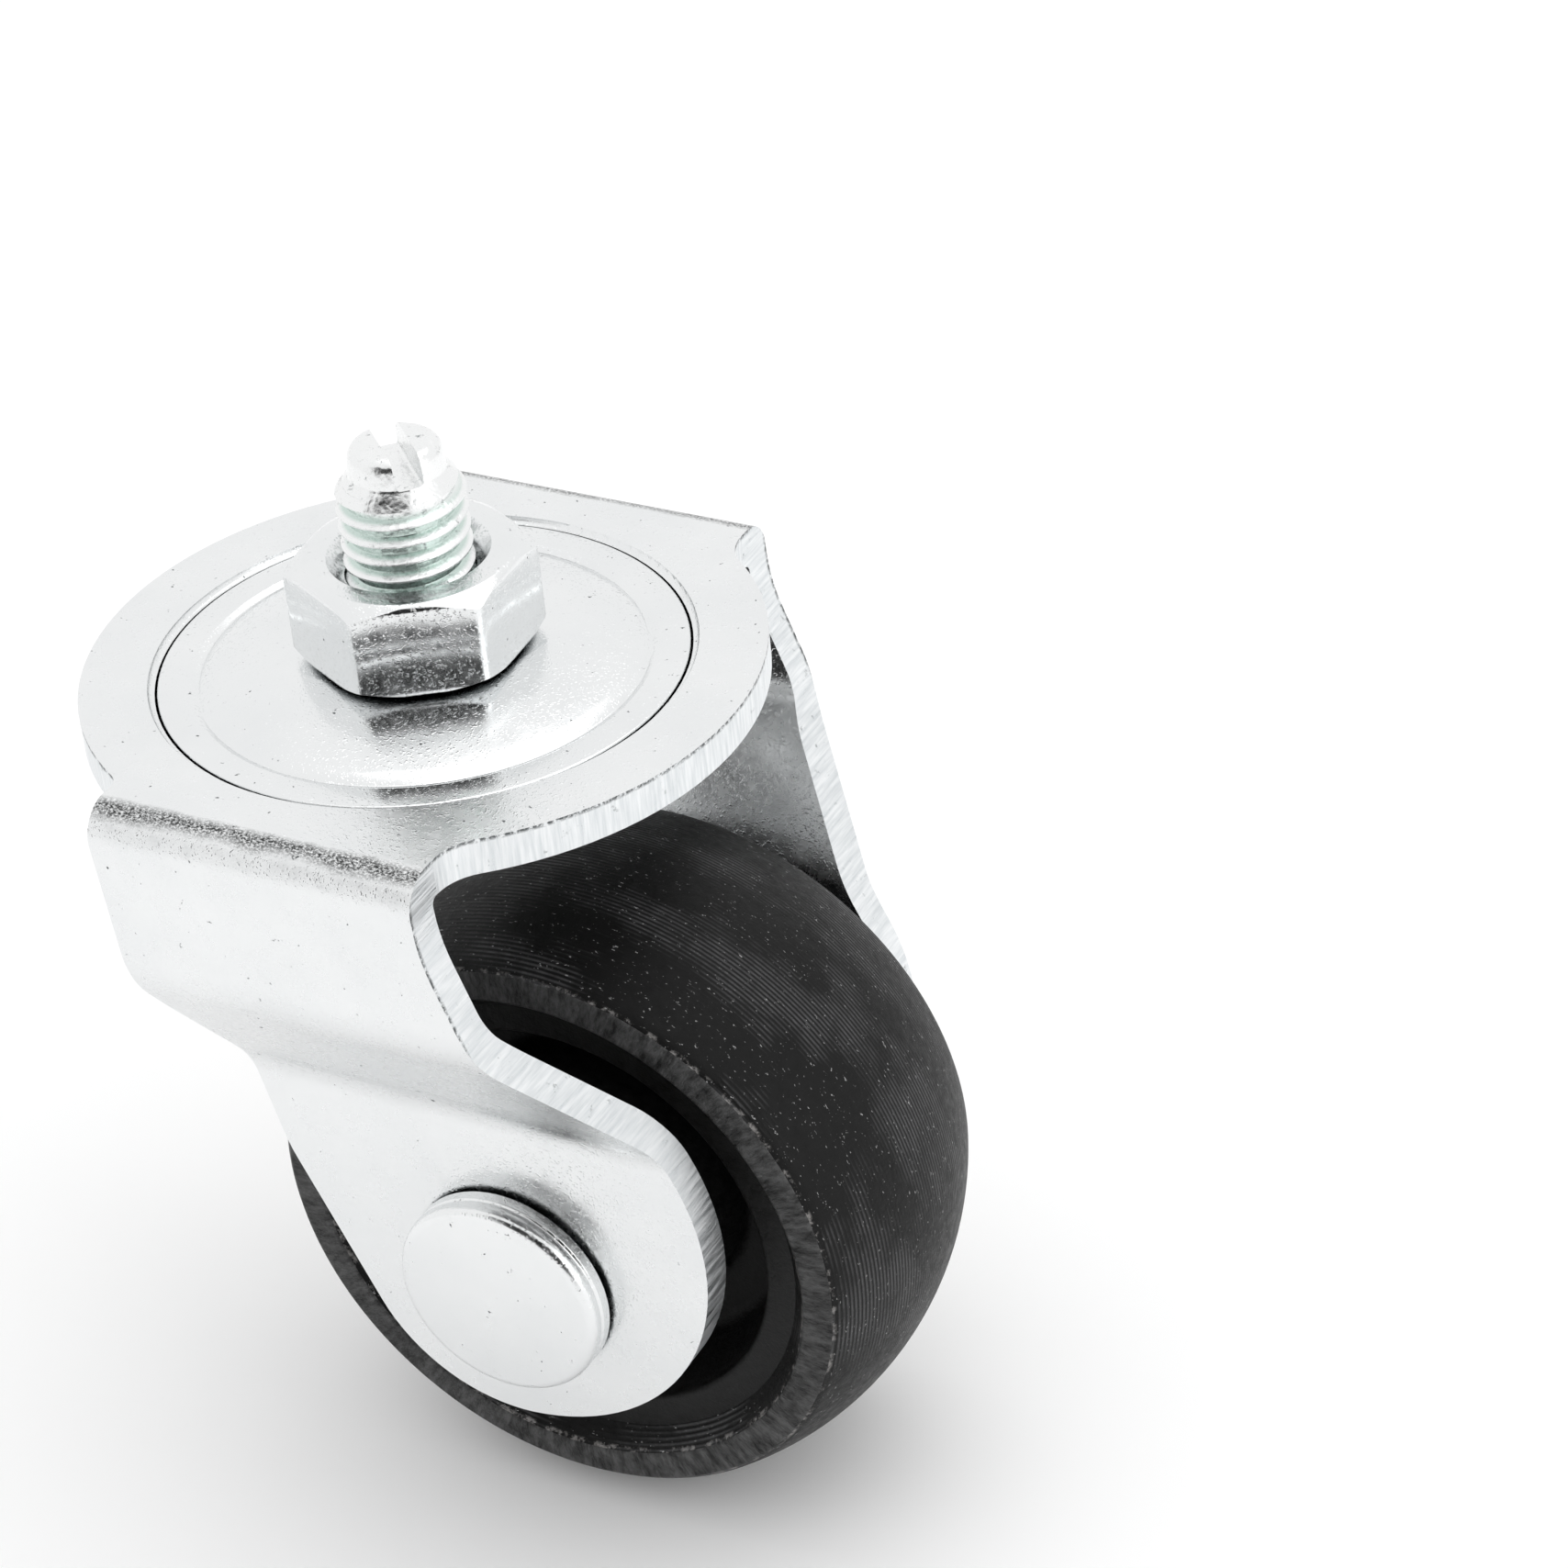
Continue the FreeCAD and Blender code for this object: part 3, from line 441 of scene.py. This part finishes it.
def natural_nylon():
    """Natural moulded nylon: milky white with a soft satin skin and light under the surface."""
    material, tree, shader, place = new_finish("natural nylon")
    skin = add(tree, "TexNoise", {"Vector": place, "Scale": 1 / (1.0 * MM), "Detail": 4, "Roughness": 0.55})
    milk = add(tree, "Mix", {0: skin, 6: colour("DDD9CC"), 7: colour("EBE8DE")}, data_type="RGBA")
    gloss = add(tree, "MapRange", {0: skin, 1: 0.3, 2: 0.7, 3: 0.38, 4: 0.5})
    normal = add(tree, "Bump", {"Height": skin, "Distance": 0.04 * MM, "Strength": 0.3})
    feed(tree, shader, {"Base Color": milk, "Subsurface Weight": 0.2,
                        "Subsurface Radius": (0.6 * MM, 0.5 * MM, 0.4 * MM), "Roughness": gloss,
                        "Normal": normal})
    return material


# ---------------------------------------------------------------- steel pieces

def thread_coil(radius, low, high):
    """A solid bar with a rolled thread: one turn's flank line wound up the stem and closed."""
    turns = math.ceil((high - low) / THREAD_PITCH) + 1
    line = []
    for turn in range(turns):
        base = low + turn * THREAD_PITCH
        for share, depth in ((0.0, 0.0), (0.08, 0.0), (0.15, 0.15), (0.30, 0.86), (0.38, 1.0),
                             (0.70, 1.0), (0.78, 0.86), (0.93, 0.15)):
            line.append(Vector((radius - depth * THREAD_DEPTH, 0, base + share * THREAD_PITCH)))
    piece = drawn_line("stem_thread", line)
    bpy.ops.object.mode_set(mode="OBJECT")
    apply(piece, "SCREW", axis="Z", screw_offset=THREAD_PITCH, steps=96, render_steps=96,
          iterations=1, use_merge_vertices=False)
    bpy.ops.object.mode_set(mode="EDIT")
    bpy.ops.mesh.select_all(action="SELECT")
    bpy.ops.mesh.remove_doubles(threshold=0.004 * MM)
    bpy.ops.mesh.select_all(action="DESELECT")
    bpy.ops.mesh.select_non_manifold(extend=False, use_wire=False, use_boundary=True,
                                     use_multi_face=False, use_non_contiguous=False, use_verts=False)
    bpy.ops.mesh.edge_face_add()
    bpy.ops.mesh.select_all(action="SELECT")
    bpy.ops.mesh.normals_make_consistent(inside=False)
    bpy.ops.object.mode_set(mode="OBJECT")
    return piece


def slot_cutter(width, depth, turn, tip):
    """A bar across the stem's tip with a slightly rounded floor."""
    nothing_selected()
    bpy.ops.mesh.primitive_cube_add(size=1, location=(0, 0, tip - depth + 5 * MM))
    piece = bpy.context.object
    piece.scale = (16 * MM, width, 10 * MM)
    piece.rotation_euler.z = turn
    bpy.ops.object.transform_apply(location=True, rotation=True, scale=True)
    apply(piece, "BEVEL", width=0.3 * MM, segments=4, limit_method="ANGLE")
    return piece


def stem():
    """The stem: a rolled thread cut to the stem's outline, with its slotted tip between two prongs."""
    low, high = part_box("threaded_stem")
    cap_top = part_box("upper_race_cap")[1].z
    thread_end = low.z + 9 * MM
    slot_wide, slot_deep, slot_turn = 2.2 * MM, 2.3 * MM, math.radians(-43)
    blank = turned("stem", rounded([
        (0, high.z, 0),
        (3.5 * MM, high.z, 1.1 * MM),
        (3.75 * MM, high.z - slot_deep, 0.5 * MM),
        (STEM_RADIUS, high.z - 3.9 * MM, 0.6 * MM),
        (STEM_RADIUS, thread_end, 0),
        (0, thread_end, 0)]), Vector((0, 0, 0)), UP, 96)
    coil = thread_coil(STEM_RADIUS - 0.02 * MM, cap_top - 8 * MM, high.z + 2 * MM)
    cut_with(blank, slot_cutter(slot_wide, slot_deep, slot_turn, high.z), "DIFFERENCE")
    break_edges(blank, 0.22 * MM, angle=50, segments=3)
    cut_with(blank, coil, "INTERSECT")
    smooth(blank, 35)
    hand_over(blank, "stem_group", "zinc_plated_steel", rolled_thread())
    lower = turned("stem_shoulder", rounded([
        (0, low.z + 9.4 * MM, 0),
        (6.5 * MM, low.z + 9.4 * MM, 0.2 * MM),
        (6.5 * MM, low.z + 3.1 * MM, 0.2 * MM),
        (4.0 * MM, low.z + 3.1 * MM, 0),
        (4.0 * MM, low.z + 1.8 * MM, 0),
        (7.0 * MM, low.z + 1.8 * MM, 0.4 * MM),
        (5.3 * MM, low.z, 0.8 * MM),
        (0, low.z, 0)]), Vector((0, 0, 0)), UP, 96)
    smooth(lower)
    hand_over(lower, "stem_group", "zinc_plated_steel", ZINC, "threaded_stem")


def nut():
    """Hexagon nut: a six-sided bar turned down at both ends, bored and countersunk, edges broken."""
    low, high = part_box("clamp_nut")
    flats, tightened = 17 * MM, math.radians(-27 - 90)
    corner = flats / 2 / math.cos(math.pi / 6)
    tall = high.z - low.z
    middle = Vector((0, 0, (low.z + high.z) / 2))
    nothing_selected()
    bpy.ops.mesh.primitive_cylinder_add(vertices=6, radius=corner, depth=tall, location=middle)
    piece = bpy.context.object
    piece.name = piece.data.name = "nut"
    piece.rotation_euler.z = tightened
    bpy.ops.object.transform_apply(location=True, rotation=True, scale=True)
    apply(piece, "BEVEL", width=0.55 * MM, segments=4, limit_method="ANGLE", angle_limit=math.radians(50))
    flat_end = 0.475 * flats
    drop = math.tan(math.radians(30)) * (corner + MM - flat_end)
    tool = turned("nut_turning", rounded([
        (0, tall / 2, 0), (flat_end, tall / 2, 0.5 * MM), (corner + MM, tall / 2 - drop, 0),
        (corner + MM, drop - tall / 2, 0), (flat_end, -tall / 2, 0.5 * MM), (0, -tall / 2, 0)]),
        middle, UP, 96)
    cut_with(piece, tool, "INTERSECT")
    bore, mouth = 5.06 * MM, 6.3 * MM
    tool = turned("nut_reamer", [
        (0, tall), (mouth + tall / 2, tall), (mouth, tall / 2), (bore, tall / 2 - 1.2 * (mouth - bore)),
        (bore, 1.2 * (mouth - bore) - tall / 2), (mouth, -tall / 2), (mouth + tall / 2, -tall), (0, -tall)],
        middle, UP, 96)
    cut_with(piece, tool, "DIFFERENCE")
    break_edges(piece, 0.22 * MM, angle=24)
    smooth(piece, 24)
    hand_over(piece, "nut", "zinc_plated_steel", bright_zinc("bright zinc on the nut", 0.15), "clamp_nut")


def cap():
    """Upper race cap: a shallow dome with a soft crease round it and a flat flange."""
    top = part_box("upper_race_cap")[1].z
    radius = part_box("upper_race_cap")[1].x + 0.12 * MM
    crease, flat, dome = 17.4 * MM, 8 * MM, 29.3 * MM
    flange = PLATE_TOP - 0.35 * MM
    bore = STEM_RADIUS
    fall = [(math.sin(turn), dome * (1 - math.cos(turn))) for turn in
            (math.asin((crease - flat - 0.5 * MM) / dome) * step / 10 for step in range(11))]
    over = [(flat + dome * across, top - down) for across, down in fall]
    outline = ([(bore, top)] + over + rounded([(over[-1][0], over[-1][1], 0),
               (crease, flange - 0.32 * MM, 0.25 * MM), (crease + 0.6 * MM, flange, 0.35 * MM),
               (radius, flange, 0.2 * MM), (radius, flange - CUP_SHEET, 0.2 * MM),
               (crease, flange - CUP_SHEET, 0)])[1:]
               + [(across, along - CUP_SHEET) for across, along in reversed(over)]
               + [(bore, top - CUP_SHEET)])
    piece = turned("race_cap", outline, Vector((0, 0, 0)), UP, 192)
    smooth(piece, 35)
    hand_over(piece, "stem_group", "zinc_plated_steel", bright_zinc("bright zinc on the cap", 0.17),
              "upper_race_cap")


def fork():
    """The fork: the pressing with its sharp edges just broken, and streaks across the cut faces."""
    piece = copy_of_node("fork", "fork_pressing")
    break_edges(piece, 0.38 * MM, angle=38, segments=4)
    smooth(piece, 28)
    apply(piece, "WEIGHTED_NORMAL", keep_sharp=True)
    piece.data.materials.clear()
    # the fork's zinc carries a painted dark reflection along its folds
    for finish in (bright_zinc("bright zinc on the fork", 0.24, painted_fold_reflection_and_galling),
                   sheared_edge("sheared rim", (1, 1, 0.08)),
                   sheared_edge("sheared arm edge", (1, 0.08, 1))):
        piece.data.materials.append(finish)
    paint_cut_faces(piece)
    hand_over(piece, "fork_group", "zinc_plated_steel", None, "fork")


def paint_cut_faces(piece):
    """Gives the sheared faces their own finish: 1 on the plate's rim, 2 on the arms' long edges."""
    under_plate = PLATE_TOP - 3.2 * MM
    ear_end = PLATE_TOP - 50 * MM
    rim_inside, arm_inside, arm_corner = 25.2 * MM, 14 * MM, 24 * MM
    for face in piece.data.polygons:
        normal, middle = face.normal, face.center
        out = Vector((middle.x, middle.y, 0)).normalized()
        across = max(normal.dot(out), abs(normal.x))
        on_rim = math.hypot(middle.x, middle.y) > rim_inside and middle.z > under_plate
        on_arm = abs(middle.y) > arm_inside and middle.z < under_plate
        if on_rim and across > 0.9 and abs(normal.z) < 0.3 and abs(normal.x) > 0.1:
            face.material_index = 2 if abs(middle.y) > arm_corner else 1
        elif on_arm and abs(normal.y) < 0.35 and (abs(normal.x) > 0.25 or middle.z < ear_end):
            face.material_index = 2


def axle():
    """Axle with a wide flat head, a turned collar under it and a spread end at the back."""
    low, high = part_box("axle")
    head = 2.6 * MM
    face = low.y - AXLE.y
    back = high.y - AXLE.y
    outline = rounded([
        (0, face, 0),
        (8.7 * MM, face, 0.8 * MM),
        (8.7 * MM, face + 1.15 * MM, 0.15 * MM),
        (8.45 * MM, face + 1.35 * MM, 0.15 * MM),
        (8.7 * MM, face + 1.6 * MM, 0.15 * MM),
        (8.7 * MM, face + head, 0.2 * MM),
        (7.7 * MM, face + head, 0),
        (7.7 * MM, face + head + 0.35 * MM, 0),
        (4 * MM, face + head + 0.35 * MM, 0),
        (4 * MM, back - 2 * MM, 0),
        (6.2 * MM, back - 2 * MM, 0.3 * MM),
        (6.1 * MM, back - 0.9 * MM, 0.8 * MM),
        (3.4 * MM, back, 0.6 * MM),
        (1.6 * MM, back - 0.35 * MM, 0.5 * MM),
        (0, back - 0.4 * MM, 0)])
    piece = turned("axle_pin", outline, AXLE, ALONG_AXLE)
    smooth(piece)
    hand_over(piece, "fork_group", "zinc_plated_steel", bright_zinc("bright zinc on the axle", 0.2), "axle")


def back_washer():
    """Washer under the axle's spread end, with broken edges."""
    low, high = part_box("axle_back_washer")
    outer = high.x - AXLE.x
    near, far = low.y - AXLE.y, high.y - AXLE.y
    piece = turned("back_washer", rounded([
        (4 * MM, near, 0), (outer, near, 0.15 * MM), (outer, far, 0.25 * MM), (4 * MM, far, 0)]),
        AXLE, ALONG_AXLE)
    smooth(piece)
    hand_over(piece, "fork_group", "zinc_plated_steel", ZINC, "axle_back_washer")


def lower_cup():
    """Lower race cup: a small pressed cup with rolled corners."""
    low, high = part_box("lower_race_cup")
    outer = high.x
    floor = low.z + CUP_SHEET
    piece = turned("race_cup", rounded([
        (4 * MM, floor, 0),
        (outer - CUP_SHEET, floor, 0.5 * MM),
        (outer - CUP_SHEET, high.z, 0.2 * MM),
        (outer, high.z, 0.3 * MM),
        (outer, low.z, 1.2 * MM),
        (4 * MM, low.z, 0)]), Vector((0, 0, 0)), UP)
    smooth(piece)
    hand_over(piece, "stem_group", "zinc_plated_steel", ZINC, "lower_race_cup")


# ---------------------------------------------------------------- wheel

def tyre():
    """Crowned tread with a soft shoulder and a narrow coarse side ring."""
    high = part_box("tyre")[1]
    crown = high.z - AXLE.z - 0.02 * MM
    half = high.y - AXLE.y
    edge = 24.6 * MM
    lip = 21.6 * MM
    tread_steps, tread_share = 22, 0.965
    across = half - 0.2 * MM
    sweep = (across ** 2 + (crown - edge) ** 2) / (2 * (crown - edge))
    limit = math.asin(across / sweep)
    tread = []
    for step in range(-tread_steps, tread_steps + 1):
        turn = limit * step / tread_steps * tread_share
        tread.append((crown - sweep * (1 - math.cos(turn)), sweep * math.sin(turn)))
    side = rounded([
        (tread[-1][0], tread[-1][1], 0),
        (edge - 0.25 * MM, half - 0.12 * MM, 0.5 * MM),
        (lip + 0.4 * MM, half, 0.5 * MM),
        (RIM, RIM_HALF, 0)])[1:]
    other = [(radius, -along) for radius, along in reversed(side)]
    piece = turned("tyre_tread", tread + side + other, AXLE, ALONG_AXLE, 192)
    smooth(piece, 35)
    piece.data.materials.append(turned_tread())
    piece.data.materials.append(wrinkled_side())
    for face in piece.data.polygons:
        if abs(face.normal.y) > 0.8:
            face.material_index = 1
    hand_over(piece, "wheel", "black_tread", None, "tyre")


def wheel_body():
    """Moulded core: a rim, a thin web, and a hub that stands out to the bushes."""
    hub, hub_half = 11.4 * MM, 13.2 * MM
    web = 2.6 * MM
    half = [
        (RIM, RIM_HALF, 0),
        (RIM - 2.6 * MM, RIM_HALF, 0.5 * MM),
        (RIM - 3.8 * MM, web, 1.2 * MM),
        (hub + 1.0 * MM, web, 1.0 * MM),
        (hub - 0.8 * MM, hub_half, 0.6 * MM),
        (8.0 * MM, hub_half, 0)]
    other = [(radius, -along, size) for radius, along, size in reversed(half)]
    piece = turned("wheel_body", rounded(half + other), AXLE, ALONG_AXLE, 144)
    smooth(piece, 35)
    hand_over(piece, "wheel", "black_plastic", PLASTIC, "wheel_core")


# ---------------------------------------------------------------- studio

def studio():
    """Pale floor, broad soft light all round, and one dark opening that the metal reflects."""
    nothing_selected()
    bpy.ops.mesh.primitive_plane_add(size=6, location=(0, 0, FLOOR))
    floor = bpy.context.object
    floor.name = "floor"
    material, tree, shader, place = new_finish("pale studio floor")
    shade = add(tree, "TexNoise", {"Vector": place, "Scale": 1 / 0.4, "Detail": 4, "Roughness": 0.55})
    paint = add(tree, "Mix", {0: shade, 6: colour("F7F7F7"), 7: colour("FAFAFA")}, data_type="RGBA")
    feed(tree, shader, {"Base Color": paint, "Roughness": 0.8})
    floor.data.materials.append(material)
    world = bpy.data.worlds.new("studio")
    bpy.context.scene.world = world
    world.use_nodes = True
    sky = world.node_tree.nodes["Background"]
    sky.inputs["Color"].default_value = colour("FFFFFF")
    sky.inputs["Strength"].default_value = 1.0
    aim = Vector((AXLE.x, 0, -30 * MM))
    soft_light("overhead softbox", (0.15, 0.20, 0.90), aim, 0.8, 1.6)
    soft_light("right softbox", (0.80, -0.10, 0.30), aim, 0.6, 1.0)
    dark_card("dark opening of the light tent", aim, math.radians(-74), math.radians(25), 1.45, 0.86)


def soft_light(name, place, aim, wide, power):
    """A square softbox that faces the caster."""
    light = bpy.data.lights.new(name, "AREA")
    light.size = wide
    light.energy = power
    lamp = bpy.data.objects.new(name, light)
    lamp.location = place
    lamp.rotation_euler = (aim - Vector(place)).to_track_quat("-Z", "Y").to_euler()
    bpy.context.scene.collection.objects.link(lamp)


def dark_card(name, aim, turn, lift, wide, tall):
    """A dark card a metre away that only reflections see, so that bright metal has an edge to show."""
    away = Vector((math.cos(turn) * math.cos(lift), math.sin(turn) * math.cos(lift), math.sin(lift)))
    nothing_selected()
    bpy.ops.mesh.primitive_plane_add(size=1)
    card = bpy.context.object
    card.name = name
    card.scale = (wide, tall, 1)
    card.rotation_euler = away.to_track_quat("Z", "Y").to_euler()
    card.location = aim + away
    material, tree, shader, place = new_finish("black card")
    fibres = add(tree, "TexNoise", {"Vector": place, "Scale": 1 / 0.02, "Detail": 4, "Roughness": 0.55})
    cloth = add(tree, "Mix", {0: fibres, 6: colour("101010"), 7: colour("1A1A1A")}, data_type="RGBA")
    feed(tree, shader, {"Base Color": cloth, "Roughness": 0.9})
    card.data.materials.append(material)
    card.visible_camera = card.visible_shadow = card.visible_diffuse = False


def camera():
    """Camera a little above the caster, on its front trailing side, rolled slightly."""
    view = bpy.data.cameras.new("camera")
    view.sensor_width = 36
    view.lens = 105.4
    view.clip_start = 0.01
    view.clip_end = 20
    eye = bpy.data.objects.new("camera", view)
    bpy.context.scene.collection.objects.link(eye)
    plate = Vector((0, 0, PLATE_TOP))
    eye.location = plate + Vector((172.8, -247.5, 181.8)) * MM
    eye.rotation_mode = "QUATERNION"
    turn, lift, roll = math.radians(29.88), math.radians(33.19), math.radians(-5.37)
    back = Vector((math.sin(turn) * math.cos(lift), -math.cos(turn) * math.cos(lift), math.sin(lift)))
    eye.rotation_quaternion = (-back).to_track_quat("-Z", "Y")
    eye.rotation_quaternion = eye.rotation_quaternion @ Matrix.Rotation(roll, 3, "Z").to_quaternion()
    bpy.context.scene.camera = eye
    bpy.context.scene.view_settings.view_transform = "Standard"


ZINC = bright_zinc()
PLASTIC = moulded_plastic()
STEEL = polished_steel()
NYLON = natural_nylon()
INNER = {
    "upper_balls": STEEL, "lower_balls": STEEL, "axle_sleeve": STEEL,
    "front_thrust_washer": NYLON, "back_thrust_washer": NYLON,
    "front_hub_bush": NYLON, "back_hub_bush": NYLON,
}
for node, finish in INNER.items():
    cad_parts[node].data.materials.clear()
    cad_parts[node].data.materials.append(finish)

stem()
nut()
cap()
fork()
axle()
back_washer()
lower_cup()
tyre()
wheel_body()
studio()
camera()
